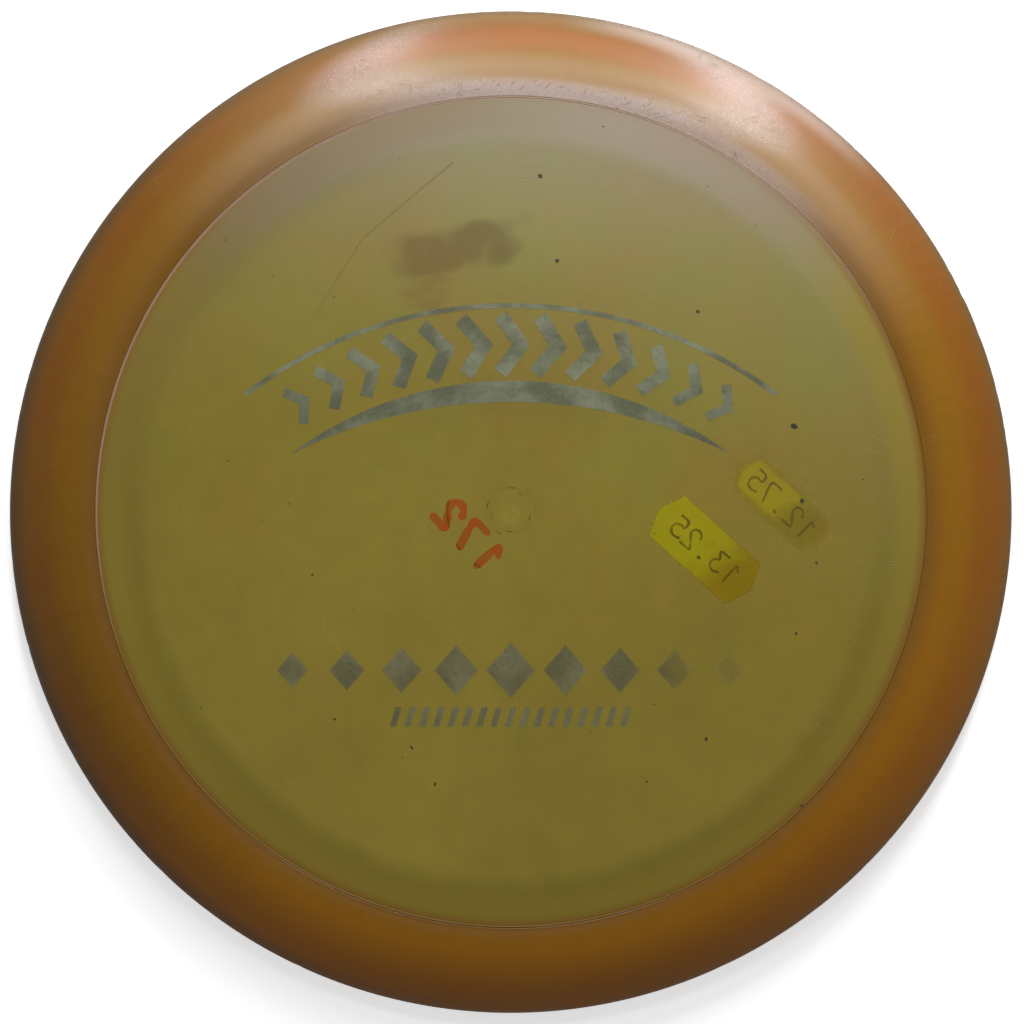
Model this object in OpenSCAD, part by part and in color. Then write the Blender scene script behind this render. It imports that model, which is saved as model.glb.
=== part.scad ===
// Golf flying disc: a clear plate held by its edge in a wing-shaped rim, with foil stamps
// on top, and two price labels and a pen mark underneath.
// Millimetres. The disc lies on its rim: the rest plane is z = 0, and z is its axis.

/* [Disc] */
// Outside diameter, nose to nose
disc_d = 211; // [206:0.5:216]
// Width of the wing, from the nose to the inside wall
wing_w = 19; // [17:0.5:21.5]
// Depth of the hollow at the inside wall
rim_depth = 12; // [11.5:0.1:13.5]

/* [Rim] */
// Height of the middle of the nose above the rest plane
nose_h = 6.2; // [5:0.1:6.8]
// Radius of the nose in section
nose_r = 1.6; // [1.5:0.05:1.9]
// Rise of the rim's crown above the edge of the plate
crown_h = 0.3; // [0.2:0.05:0.7]
// Distance from the crease out to the crown
shoulder_w = 3; // [2.6:0.1:4.5]
// Width of the flat ring that the disc stands on
foot_w = 1.6; // [1.2:0.1:2.8]
// Round on the foot's inside corner, where fingers curl
foot_r = 1; // [0.6:0.1:1.4]
// Slope of the wing's hollow underside where it leaves the foot, in degrees
belly_slope = 24; // [16:1:28]
// Fillet between the inside wall and the plate
fillet_r = 2.2; // [1.6:0.1:2.8]
// Thickness of the rim's toe under the edge of the plate
toe_t = 0.2; // [0.15:0.05:0.4]

/* [Plate] */
// Thickness of the plate
plate_t = 1.7; // [1.6:0.1:2.2]
// Rise of the plate's middle above its edge
dome_h = 1.8; // [1:0.1:4]
// Distance of the crease outside the inside wall
crease_out = 0.4; // [0.2:0.1:0.8]
// Radius of the fine bead along the plate's edge
bead_r = 0.22; // [0.15:0.01:0.3]
// Length of the tongue that the rim holds
tongue_w = 2.6; // [2:0.1:3.4]
// Thickness of the tongue at its root
tongue_t = 0.7; // [0.5:0.05:0.8]
// Thickening at the tongue's tip, on each face
tongue_key = 0.12; // [0:0.01:0.2]
// Depth of the tongue's middle below the middle of the plate
tongue_drop = 0.2; // [0.1:0.05:0.3]

/* [Gate] */
// Radius of the gate's stub
gate_r = 2.1; // [1.5:0.1:2.8]
// Height of the gate's stub
gate_h = 0.5; // [0.3:0.1:0.8]
// Inside radius of the raised ring round the gate
ring_r = 4.2; // [3.4:0.1:5]
// Width of the raised ring
ring_w = 0.8; // [0.5:0.1:1.2]
// Height of the raised ring
ring_h = 0.25; // [0.15:0.05:0.4]
// Radius of the fine groove that the mould's insert leaves
insert_r = 13; // [11:0.5:16]
// Width of the groove
groove_w = 0.4; // [0.3:0.05:0.6]
// Depth of the groove
groove_h = 0.12; // [0.08:0.02:0.2]

/* [Foil stamps] */
// Thickness of the foil
foil_t = 0.05; // [0.04:0.01:0.1]
// Radius of the middle of the chevron band
band_r = 84; // [76:1:92]
// Distance of the band's middle from the disc's middle
band_y = 35; // [30:0.5:38]
// Half of the angle that the band covers
band_half = 37; // [32:1:38]
// Number of chevrons
chevrons = 13; // [9:2:13]
// Span of the middle chevron, across the band
chevron_l = 12; // [10:0.5:12.5]
// Stroke of the middle chevron
chevron_w = 3.1; // [2.4:0.1:3.4]
// Gap between the chevrons and the bands beside them
band_gap = 1.6; // [1:0.1:2]
// Width of the arc above the chevrons
arc_w = 1; // [0.6:0.1:1.4]
// Widest part of the crescent below the chevrons
crescent_w = 4.4; // [3:0.1:5]
// Number of diamonds in the lower row
diamonds = 9; // [5:2:9]
// Distance between the diamonds' middles
diamond_pitch = 11.4; // [10.6:0.2:12]
// Width of the middle diamond
diamond_w = 10; // [7:0.5:10]
// Height of the middle diamond
diamond_h = 11.5; // [8:0.5:12.5]
// Distance of the diamond row from the disc's middle
row_y = 33; // [30:0.5:36]
// Gap between the middle diamond and the bars
bar_gap = 2; // [1:0.1:3]
// Number of slanted bars
bars = 17; // [9:2:19]
// Distance between the bars
bar_pitch = 3; // [2.6:0.1:3.4]
// Width of a bar
bar_w = 1.3; // [0.9:0.1:1.6]
// Height of a bar
bar_h = 4; // [3:0.1:4.6]

/* [Price labels] */
// Length of a label over its lobed ends
label_l = 26; // [24:0.5:28]
// Width of a label
label_w = 12; // [11:0.5:13]
// Depth of the lobe at each end
lobe = 1.8; // [1:0.1:2.4]
// Thickness of a label with its glue
label_t = 0.12; // [0.08:0.01:0.2]
// Distance of the bright label's middle from the disc's middle
price_out = 41.3; // [34:0.1:46]
// Gap between the two labels
label_gap = 5.8; // [3:0.1:8]
// Height of the printed figures
figure_h = 5; // [4:0.1:5.6]
// Stroke of the printed figures
figure_w = 0.6; // [0.4:0.05:0.7]
// Thickness of printed and pen ink
ink_t = 0.04; // [0.03:0.01:0.08]

/* [Pen mark] */
// Height of the pen figures
pen_h = 8; // [6:0.5:9]
// Width of the pen's line
pen_w = 1.9; // [1.4:0.1:2.1]
// Gap between the ring round the gate and the pen figures
pen_gap = 0.6; // [0.4:0.1:3]

/* [Hidden] */

TURN_FN = 240;                                  // facets round a turned part in the preview
DOME_FN = 2400;                                 // and round the dome's large sphere
inside_r = disc_d / 2 - wing_w;
crease_r = inside_r + crease_out;
toe_r = inside_r - fillet_r;
plate_z = rim_depth + toe_t + plate_t;          // top of the plate at its edge
mid_z = plate_z - plate_t / 2;
top_z = plate_z + dome_h;
dome_r = (pow(crease_r, 2) + pow(dome_h, 2)) / (2 * dome_h);
print_t = label_t + ink_t;
figure_pitch = figure_h * 0.72;                 // step from one printed figure to the next
pen_pitch = pen_h * 0.74;                       // step from one pen figure to the next
band_centre = [0, band_y - band_r];

// Where the marks under the plate lie, seen from above: the direction of each reading line,
// and the middle of each mark.
price_turn = 138;
old_price_turn = 136;
pen_turn = 132;
price_at = price_out * way(-11);
old_price_slide = 5.5;                          // shift of the old label along its neighbour
old_price_at = price_at + (label_w + label_gap) * way(price_turn - 90)
             - old_price_slide * way(price_turn);
pen_slide = 2.3;
pen_at = (ring_r + ring_w + pen_gap + pen_h / 2) * way(pen_turn + 90) + pen_slide * way(pen_turn);

// ---- points and curves ----

function way(a) = [cos(a), sin(a)];
function unit(v) = v / norm(v);
function left_of(v) = [-v[1], v[0]];

// Points of an arc about a centre, from one angle to another.
function arc(centre, r, from, to, n) =
    [for (i = [0 : n]) centre + r * way(from + (to - from) * i / n)];

// Points of a cubic curve from a to d with the handles b and c.
function curve(a, b, c, d, n) =
    [for (i = [0 : n])
        let (t = i / n, u = 1 - t)
            u * u * u * a + 3 * u * u * t * b + 3 * u * t * t * c + t * t * t * d];

// Outline of the rim in section, counter-clockwise from the foot's inside round.
function rim_outline() =
    let (tip_a = 42,                            // the nose's arc runs from the chin to the tip
         chin_a = -79,
         nose = [disc_d / 2 - nose_r, nose_h],
         tip = nose + nose_r * way(tip_a),
         chin = nose + nose_r * way(chin_a),
         foot = [inside_r + foot_r + foot_w, 0],
         crown = [crease_r + shoulder_w, plate_z + crown_h],
         valley = [crease_r, plate_z],
         under = chin[0] - foot[0],
         over = tip[0] - crown[0])
    concat(arc([inside_r + foot_r, foot_r], foot_r, 180, 270, 6),
           curve(foot, foot + 0.22 * under * way(belly_slope),
                 chin - 0.5 * under * way(chin_a + 90), chin, 10),
           arc(nose, nose_r, chin_a, tip_a, 10),
           curve(tip, tip + 0.28 * over * way(tip_a + 90),
                 crown + 0.34 * over * [1, 0], crown, 14),
           curve(crown, crown - 0.45 * shoulder_w * [1, 0],
                 valley + 0.25 * shoulder_w * [1, 0], valley, 6),
           [[crease_r, mid_z], [toe_r, mid_z]],
           arc([toe_r, rim_depth - fillet_r], fillet_r, 90, 0, 8));

// ---- layers that follow the dome ----

// Section of a layer between two heights over the plate's top surface, out to a radius.
module dome_section(low, high, r) {
    intersection() {
        translate([0, top_z - dome_r])
            difference() {
                circle(r = dome_r + high, $fn = DOME_FN);
                circle(r = dome_r + low, $fn = DOME_FN);
            }
        square([r, 2 * top_z]);
    }
}

// A layer on or under the plate, cut to a flat outline.
module on_dome(low, high) {
    intersection() {
        rotate_extrude($fn = TURN_FN) dome_section(low, high, inside_r);
        linear_extrude(2 * top_z) children();
    }
}

// Puts an outline drawn to be read from below at its place, seen from above.
module read_from_below(at, turn) {
    translate(at) rotate(turn) mirror([0, 1]) children();
}

// ---- strokes and figures ----

// The point beside a path's i-th point, d to its left, with mitred corners.
function beside(path, i, d) =
    let (last = len(path) - 1,
         into = unit(path[max(i, 1)] - path[max(i, 1) - 1]),
         out = unit(path[min(i, last - 1) + 1] - path[min(i, last - 1)]),
         across = unit(left_of(into) + left_of(out)))
    path[i] + d / (across * left_of(into)) * across;

// A stroke of even width along a path.
module stroke(path, w) {
    last = len(path) - 1;
    polygon(concat([for (i = [0 : last]) beside(path, i, w / 2)],
                   [for (i = [last : -1 : 0]) beside(path, i, -w / 2)]));
}

// Path of a figure in a cell 1 wide and 1.6 high.
function figure_path(n) =
    n == 1 ? [[0.2, 1.25], [0.55, 1.6], [0.55, 0]] :
    n == 2 ? [[0, 1.2], [0.12, 1.46], [0.45, 1.6], [0.8, 1.48], [0.9, 1.15], [0.7, 0.8],
              [0, 0], [1, 0]] :
    n == 3 ? [[0.05, 1.6], [0.95, 1.6], [0.45, 0.98], [0.82, 0.84], [0.95, 0.45],
              [0.72, 0.1], [0.35, 0], [0, 0.18]] :
    n == 5 ? [[0.9, 1.6], [0.15, 1.6], [0.1, 0.92], [0.5, 1.02], [0.85, 0.86], [0.97, 0.5],
              [0.8, 0.14], [0.4, 0], [0, 0.14]] :
             [[0, 1.6], [1, 1.6], [0.4, 0]];

// One figure, h high, with its cell's left foot at the origin.
module figure(n, h, w) {
    cell = (h - w) / 1.6;
    stroke([for (p = figure_path(n)) w / 2 * [1, 1] + cell * p], w);
}

// A row of figures about its middle, where POINT stands for a decimal point.
POINT = -1;
module figures(row, h, w, pitch) {
    for (i = [0 : len(row) - 1])
        translate([(i - len(row) / 2) * pitch, -h / 2])
            if (row[i] == POINT)
                translate([pitch / 2 - w, 0]) square(1.5 * w);
            else
                figure(row[i], h, w);
}

// ---- rim and plate ----

// Section of the plate: dome, edge bead, keyed tongue, gate stub, gate ring and groove.
module plate_section() {
    tongue_z = mid_z - tongue_drop;
    root = tongue_t / 2;
    key = root + tongue_key;
    tip = crease_r + tongue_w;
    difference() {
        dome_section(-plate_t, 0, crease_r);
        translate([insert_r, 0]) intersection() {
            translate([-insert_r, 0]) dome_section(-plate_t, groove_h - plate_t, 2 * insert_r);
            square([groove_w, top_z]);
        }
    }
    translate([crease_r - 1.6 * bead_r, plate_z]) circle(r = bead_r, $fn = 24);
    polygon([[crease_r - root, tongue_z - root], [crease_r, tongue_z - root],
             [tip, tongue_z - key], [tip, tongue_z + key],
             [crease_r, tongue_z + root], [crease_r - root, tongue_z + root]]);
    dome_section(-plate_t - gate_h, -plate_t / 2, gate_r);
    difference() {
        dome_section(-plate_t - ring_h, -plate_t / 2, ring_r + ring_w);
        square([ring_r, top_z - plate_t]);
    }
}

module rim() {
    color("darkgoldenrod")
        rotate_extrude($fn = TURN_FN)
            difference() {
                polygon(rim_outline());
                plate_section();
            }
}

module flight_plate() {
    color("darkkhaki")
        rotate_extrude($fn = TURN_FN) plate_section();
}

// ---- foil stamps on the plate ----

module foil() {
    color("silver") on_dome(0, foil_t) children();
}

// Chevrons that follow the band and grow towards its middle.
module foil_chevrons() {
    step = 2 * band_half / (chevrons + 1);
    foil() translate(band_centre)
        for (i = [1 : chevrons])
            let (grow = 0.55 + 0.45 * sin(180 * i / (chevrons + 1)),
                 half = chevron_l * grow / 2,
                 lean = 0.36 * half)
                rotate(90 + band_half - i * step) translate([band_r, 0]) rotate(180)
                    stroke([[-half, -lean], [0, lean], [half, -lean]], chevron_w * grow);
}

module foil_arc() {
    low = band_r + chevron_l / 2 + band_gap;
    reach = 2 * low;
    foil() translate(band_centre)
        intersection() {
            difference() {
                circle(r = low + arc_w, $fn = TURN_FN);
                circle(r = low, $fn = TURN_FN);
            }
            polygon([[0, 0], reach * way(90 - band_half), reach * way(90 + band_half)]);
        }
}

// Two arcs of different radius that meet in a point at each end of the band.
module foil_crescent() {
    high = band_r - chevron_l / 2 - band_gap;
    ends = high * way(90 - band_half);
    sag = high - ends[1] - crescent_w;
    low = (pow(ends[0], 2) + pow(sag, 2)) / (2 * sag);
    foil() translate(band_centre)
        difference() {
            intersection() {
                circle(r = high, $fn = TURN_FN);
                translate([-high, ends[1]]) square([2 * high, high]);
            }
            translate([0, high - crescent_w - low]) circle(r = low, $fn = TURN_FN);
        }
}

// A row of diamonds that shrink away from the middle.
module foil_diamonds() {
    middle = (diamonds - 1) / 2;
    foil()
        for (i = [-middle : middle])
            let (grow = 1 - 0.09 * abs(i),
                 w = diamond_w / 2 * grow,
                 h = diamond_h / 2 * grow)
                translate([i * diamond_pitch, -row_y])
                    polygon([[-w, 0], [0, -h], [w, 0], [0, h]]);
}

// A row of short slanted bars under the diamonds.
module foil_bars() {
    lean = 0.3 * bar_h;
    foil()
        translate([0, -row_y - diamond_h / 2 - bar_gap - bar_h / 2])
            for (i = [0 : bars - 1])
                translate([(i - (bars - 1) / 2) * bar_pitch, 0])
                    polygon([[-bar_w - lean, -bar_h] / 2, [bar_w - lean, -bar_h] / 2,
                             [bar_w + lean, bar_h] / 2, [lean - bar_w, bar_h] / 2]);
}

// ---- marks under the plate ----

// Outline of a label: straight long sides, and a lobe between two points at each end.
module label_outline() {
    steps = 16;
    body = label_l / 2 - lobe;
    end = [for (i = [0 : steps])
        let (t = 2 * i / steps - 1)
            [body + lobe * (1 + cos(180 * t)) / 2, t * label_w / 2]];
    polygon(concat(end, [for (p = end) -p]));
}

module label(at, turn) {
    color("yellow")
        on_dome(-plate_t - label_t, -plate_t) read_from_below(at, turn) label_outline();
}

module label_ink(at, turn, row) {
    color("darkolivegreen")
        on_dome(-plate_t - print_t, -plate_t - label_t) read_from_below(at, turn)
            figures(row, figure_h, figure_w, figure_pitch);
}

module price_label() {
    label(price_at, price_turn);
}

module price_ink() {
    label_ink(price_at, price_turn, [1, 3, POINT, 2, 5]);
}

module old_price_label() {
    label(old_price_at, old_price_turn);
}

module old_price_ink() {
    label_ink(old_price_at, old_price_turn, [1, 2, POINT, 7, 5]);
}

module pen_mark() {
    color("orangered")
        on_dome(-plate_t - ink_t, -plate_t) read_from_below(pen_at, pen_turn)
            figures([1, 7, 2], pen_h, pen_w, pen_pitch);
}

rim();
flight_plate();
foil_chevrons();
foil_arc();
foil_crescent();
foil_diamonds();
foil_bars();
price_label();
price_ink();
old_price_label();
old_price_ink();
pen_mark();
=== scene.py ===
# %% [markdown]
# # A golf flying disc, from frame to finish
#
# A golf disc is a domed plate of clear plastic in a wide rim that is shaped like a wing.
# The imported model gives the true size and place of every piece. This script loads it and
# stays inside its box, and each look is made around it, in metres.

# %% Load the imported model
import math
import random

import bmesh
import bpy
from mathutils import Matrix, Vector


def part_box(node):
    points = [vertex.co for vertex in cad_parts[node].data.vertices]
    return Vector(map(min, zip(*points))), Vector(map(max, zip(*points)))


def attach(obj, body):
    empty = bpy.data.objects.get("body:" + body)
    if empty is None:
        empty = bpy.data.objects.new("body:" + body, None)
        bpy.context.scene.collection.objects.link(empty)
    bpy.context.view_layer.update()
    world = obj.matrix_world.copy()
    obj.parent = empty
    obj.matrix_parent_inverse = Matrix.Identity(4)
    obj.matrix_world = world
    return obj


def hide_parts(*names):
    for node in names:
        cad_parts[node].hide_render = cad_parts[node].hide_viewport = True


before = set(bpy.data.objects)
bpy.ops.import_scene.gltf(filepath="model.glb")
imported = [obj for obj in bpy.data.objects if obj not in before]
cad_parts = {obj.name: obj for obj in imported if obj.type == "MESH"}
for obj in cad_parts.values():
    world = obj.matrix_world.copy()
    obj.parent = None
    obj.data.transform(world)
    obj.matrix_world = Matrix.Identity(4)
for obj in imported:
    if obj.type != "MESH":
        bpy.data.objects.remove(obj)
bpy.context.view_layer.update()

print("pieces in the frame:", ", ".join(sorted(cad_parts)))

# %% [markdown]
# ## Sizes
#
# A few sizes drive the whole disc. The outside radius and the plate's top come from the
# frame. The others are what a maker would write on the drawing of the mould, in millimetres,
# and every later place is worked out from them.

# %% The disc's driving sizes
MM = 0.001
disc_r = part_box("rim")[1][0] / MM
top_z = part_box("flight_plate")[1][2] / MM
wing_w = 19.0
rim_depth = 12.0
nose_h = 6.2
nose_r = 1.6
crown_h = 0.3
shoulder_w = 3.0
foot_w = 1.6
foot_r = 1.0
belly_slope = 24.0
fillet_r = 2.2
toe_t = 0.2
plate_t = 1.7
dome_h = 1.8
crease_out = 0.4
bead_r = 0.11

inside_r = disc_r - wing_w
crease_r = inside_r + crease_out
toe_r = inside_r - fillet_r
plate_z = rim_depth + toe_t + plate_t
dome_r = (crease_r**2 + dome_h**2) / (2 * dome_h)
print(f"disc {2 * disc_r:.1f} mm across, hollow {2 * inside_r:.1f} mm, {top_z:.1f} mm high")


# %% [markdown]
# ## Curves for the sections
#
# The rim's section is a wing: a flat foot, a hollow belly, a small round nose and a long
# curved top. Arcs and cubic curves describe it with a handful of numbers, and the number of
# points on each can be chosen for a smooth silhouette.

# %% Points on arcs and cubic curves
def way(degrees):
    turn = math.radians(degrees)
    return (math.cos(turn), math.sin(turn))


def plus(a, b, share=1.0):
    return (a[0] + share * b[0], a[1] + share * b[1])


def arc(centre, radius, first, last, count):
    turns = [first + (last - first) * i / count for i in range(count + 1)]
    return [plus(centre, way(turn), radius) for turn in turns]


def curve(a, b, c, d, count):
    points = []
    for i in range(count + 1):
        t = i / count
        u = 1 - t
        shares = (u**3, 3 * u * u * t, 3 * u * t * t, t**3)
        points.append(tuple(sum(s * p[k] for s, p in zip(shares, (a, b, c, d))) for k in (0, 1)))
    return points


def joined(*runs):
    """One outline from several runs, without the points that two runs share."""
    outline = []
    for run in runs:
        for point in run:
            if not outline or math.dist(point, outline[-1]) > 1e-4:
                outline.append(point)
    return outline


def dome_z(radius, offset=0.0):
    """Height of the plate's top at a radius, or of a layer parallel to it."""
    return top_z - dome_r + math.sqrt((dome_r + offset) ** 2 - radius**2)


# %% The rim's section
def rim_section():
    tip_turn = 42
    chin_turn = -79
    nose = (disc_r - nose_r, nose_h)
    tip = plus(nose, way(tip_turn), nose_r)
    chin = plus(nose, way(chin_turn), nose_r)
    foot = (inside_r + foot_r + foot_w, 0.0)
    crown = (crease_r + shoulder_w, plate_z + crown_h)
    valley = (crease_r, plate_z)
    under = chin[0] - foot[0]
    over = tip[0] - crown[0]
    return joined(
        arc((inside_r + foot_r, foot_r), foot_r, 180, 270, 6),
        curve(foot, plus(foot, way(belly_slope), 0.22 * under),
              plus(chin, way(chin_turn + 90), -0.5 * under), chin, 16),
        arc(nose, nose_r, chin_turn, tip_turn, 14),
        curve(tip, plus(tip, way(tip_turn + 90), 0.28 * over),
              plus(crown, (0.34 * over, 0)), crown, 26),
        curve(crown, plus(crown, (-0.45 * shoulder_w, 0)),
              plus(valley, (0.25 * shoulder_w, 0)), valley, 8),
        [(crease_r, dome_z(crease_r, -plate_t)), (toe_r, dome_z(toe_r, -plate_t))],
        arc((toe_r, rim_depth - fillet_r), fillet_r, 90, 0, 8),
    )


print("rim section:", len(rim_section()), "points")


# %% [markdown]
# ## Turned pieces
#
# A lathe turns a section round the disc's axis. The result is a plain mesh, so afterwards
# single points can be moved, for nicks and gouges. All faces are smooth: at this density
# the small rounds in the section keep their edges.

# %% A lathe
def lathe(name, section, turns, change=None):
    """Turns a section about z. One that starts on the axis ends there too; any other is a
    closed loop. change(radius, height, angle) may move each point."""
    mesh = bmesh.new()
    solid = section[0][0] == 0
    rings = []
    for i in range(turns):
        angle = 2 * math.pi * i / turns
        ring = []
        for radius, height in (section[1:-1] if solid else section):
            if change:
                radius, height = change(radius, height, angle)
            place = (radius * math.cos(angle), radius * math.sin(angle), height)
            ring.append(mesh.verts.new([MM * value for value in place]))
        rings.append(ring)
    steps = len(rings[0])
    for i in range(turns):
        here, after = rings[i], rings[(i + 1) % turns]
        for j in range(steps - 1 if solid else steps):
            k = (j + 1) % steps
            mesh.faces.new((here[j], after[j], after[k], here[k]))
    if solid:
        for end, height in ((0, section[0][1]), (-1, section[-1][1])):
            pole = mesh.verts.new((0, 0, height * MM))
            for i in range(turns):
                mesh.faces.new((rings[i][end], rings[(i + 1) % turns][end], pole))
    return piece_from(name, mesh)


def piece_from(name, mesh, smooth=True):
    """Makes a piece of a mesh, with its faces turned outwards, and rides it on the disc."""
    bmesh.ops.recalc_face_normals(mesh, faces=mesh.faces[:])
    for face in mesh.faces:
        face.smooth = smooth
    data = bpy.data.meshes.new(name)
    mesh.to_mesh(data)
    mesh.free()
    made = bpy.data.objects.new(name, data)
    bpy.context.scene.collection.objects.link(made)
    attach(made, "root")
    print(f"{name}: {len(data.polygons)} faces")
    return made


# %% [markdown]
# ## The rim
#
# A disc that has met trees has nicks at its nose, where the plastic is pushed in. They are
# small bites out of the section: a bite has a place round the rim and a width in degrees, a
# height on the nose and a depth, and only ever moves points inwards.

# %% Bites out of the nose
nose_zone = 3.5
bite_h = 0.9
chance = random.Random(7)
bites = [(21.0, 0.7, 6.9, 0.12), (25.8, 0.5, 6.4, 0.16), (27.2, 0.4, 6.0, 0.12)]
for _ in range(46):
    bites.append((chance.uniform(0, 360), chance.uniform(0.25, 0.8),
                  nose_h + chance.uniform(-0.9, 1.5), chance.uniform(0.03, 0.11)))


def bitten(radius, height, angle):
    if radius < disc_r - nose_zone:
        return radius, height
    turn = math.degrees(angle)
    for place, width, level, depth in bites:
        away = (turn - place + 180) % 360 - 180
        if abs(away) < 3 * width:
            radius -= depth * math.exp(-(away / width) ** 2 - ((height - level) / bite_h) ** 2)
    return radius, height


rim_wing = lathe("rim_wing", rim_section(), 960, bitten)
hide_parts("rim")

# %% [markdown]
# ## The flight plate
#
# The plate is the first shot of the moulding: a shallow dome with a fine bead at its edge, and
# a tongue that the rim grips. Underneath are the gate's broken stub, the ring round it and the
# fine groove that the mould's round insert leaves. The stub is where the plastic came in, and
# it is snapped off, so its end is uneven.

# %% The plate's section, from the axis out along the top and back underneath
tongue_w = 2.6
tongue_t = 0.7
tongue_key = 0.12
tongue_drop = 0.2
gate_r = 2.1
gate_h = 0.5
ring_r = 4.2
ring_w = 0.8
ring_h = 0.25
insert_r = 13.0
groove_w = 0.4
groove_h = 0.12
soft = 0.1
crowded = (0.6, 0.3, 0.15, 0.05)


def evenly(first, last, count):
    return [first + (last - first) * i / count for i in range(count + 1)]


def plate_section():
    """Rings crowd together near the bead and the crease, so that the shading breaks there."""
    bead_at = crease_r - 1.6 * bead_r
    bead_foot = bead_at - bead_r
    flat = evenly(0, bead_foot - 1.2, 43) + [bead_foot - gap for gap in crowded]
    top = [(r, dome_z(r)) for r in flat]
    bead = [plus((bead_at, plate_z), way(turn), bead_r) for turn in range(165, -1, -15)]
    middle = plate_z - plate_t / 2 - tongue_drop
    root = tongue_t / 2
    tip = crease_r + tongue_w
    tongue = [(crease_r, plate_z - 0.02), (crease_r, middle + root),
              (tip, middle + root + tongue_key), (tip, middle - root - tongue_key),
              (crease_r, middle - root)]
    steps = [(crease_r - gap, 0.0) for gap in (0.0, 0.05, 0.2, 0.6)]
    steps += [(r, 0.0) for r in evenly(crease_r - 1.5, insert_r + groove_w + soft, 40)]
    steps += [(insert_r + groove_w, 0.01), (insert_r + groove_w - soft, groove_h),
              (insert_r + soft, groove_h), (insert_r, 0.01)]
    steps += [(r, 0.0) for r in evenly(insert_r - soft, ring_r + ring_w + soft, 6)]
    steps += [(ring_r + ring_w, -0.02), (ring_r + ring_w - soft, soft - ring_h),
              (ring_r + ring_w - 2 * soft, -ring_h), (ring_r + 2 * soft, -ring_h),
              (ring_r + soft, soft - ring_h), (ring_r, -0.02), (ring_r - soft, 0.0)]
    steps += [(gate_r + 3 * soft, 0.0), (gate_r, -soft), (gate_r - soft, soft - gate_h),
              (gate_r - 2.5 * soft, -gate_h), (0.9, -0.85 * gate_h), (0.5, -0.8 * gate_h),
              (0.0, -0.7 * gate_h)]
    under = [(r, dome_z(r, -plate_t) + step) for r, step in steps]
    return joined(top, bead, tongue, under)


def snapped(radius, height, angle):
    """The gate's stub is broken off unevenly, and the ring round it is a little wavy."""
    if height > top_z - plate_t - 0.03:
        return radius, height
    if radius < gate_r - 0.05:
        height += 0.08 * (1 + math.sin(3 * angle + 2 * radius))
    elif ring_r - 0.15 < radius < ring_r + ring_w + 0.05:
        radius += 0.2 * math.sin(5 * angle) + 0.1 * math.sin(9 * angle + 1)
    return radius, height


flight_plate_clear = lathe("flight_plate_clear", plate_section(), 600, snapped)
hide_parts("flight_plate")

# %% [markdown]
# ## Layers that lie on the plate
#
# Foil, paper and ink are so thin that each is best made as a flat outline, given a top and an
# underside that follow the dome. An outline with few points would show straight edges, so long
# edges are cut into short ones first, and the foil's edges are made a little ragged.

# %% Thin layers from outlines
def unit(vector):
    size = math.hypot(*vector)
    return (vector[0] / size, vector[1] / size)


def fine(outline, step, ragged=0.0, seed=1):
    """The same closed outline with points about a step apart, each moved a little."""
    luck = random.Random(seed)
    points = []
    for a, b in zip(outline, outline[1:] + outline[:1]):
        count = max(1, round(math.dist(a, b) / step))
        for i in range(count):
            x = a[0] + (b[0] - a[0]) * i / count
            y = a[1] + (b[1] - a[1]) * i / count
            points.append((x + luck.uniform(-ragged, ragged), y + luck.uniform(-ragged, ragged)))
    return points


def layer(name, outlines, low, high):
    """A closed thin piece between two heights over the plate's top, one island per outline."""
    mesh = bmesh.new()
    for outline in outlines:
        rows = []
        for offset in (low, high):
            rows.append([mesh.verts.new((x * MM, y * MM, dome_z(math.hypot(x, y), offset) * MM))
                         for x, y in outline])
        count = len(outline)
        for i in range(count):
            j = (i + 1) % count
            mesh.faces.new((rows[0][i], rows[0][j], rows[1][j], rows[1][i]))
        for row in rows:
            mesh.faces.new(row)
    bmesh.ops.triangulate(mesh, faces=[face for face in mesh.faces if len(face.verts) > 4])
    return piece_from(name, mesh, smooth=False)


def moved(outline, turn, at):
    """Turns an outline about the origin by degrees, then moves it."""
    c, s = way(turn)
    return [(x * c - y * s + at[0], x * s + y * c + at[1]) for x, y in outline]


def from_below(outline, turn, at):
    """Puts an outline drawn to be read from below at its place, seen from above."""
    return moved([(x, -y) for x, y in outline], turn, at)


# %% [markdown]
# ## The foil stamps
#
# The stamps are silver hot-stamp foil. The upper one is a band of chevrons between a thin arc
# and a crescent. The lower one is a row of diamonds over a row of slanted bars. They are drawn
# by rules, so the shapes grow towards the middle of each row.

# %% The upper stamp
foil_t = 0.05
band_r = 84.0
band_y = 35.0
band_half = 37.0
chevrons = 13
chevron_l = 12.0
chevron_w = 3.1
band_gap = 1.6
arc_w = 1.0
crescent_w = 4.4
band_centre = (0.0, band_y - band_r)


def beside(path, i, distance):
    """The point beside a path's i-th point, to its left, with mitred corners."""
    a, b = path[max(i, 1) - 1], path[max(i, 1)]
    c, d = path[min(i, len(path) - 2)], path[min(i, len(path) - 2) + 1]
    first = unit((a[1] - b[1], b[0] - a[0]))
    second = unit((c[1] - d[1], d[0] - c[0]))
    across = unit((first[0] + second[0], first[1] + second[1]))
    return plus(path[i], across, distance / (across[0] * first[0] + across[1] * first[1]))


def stroke(path, width):
    places = range(len(path))
    return ([beside(path, i, width / 2) for i in places]
            + [beside(path, i, -width / 2) for i in reversed(places)])


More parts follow.
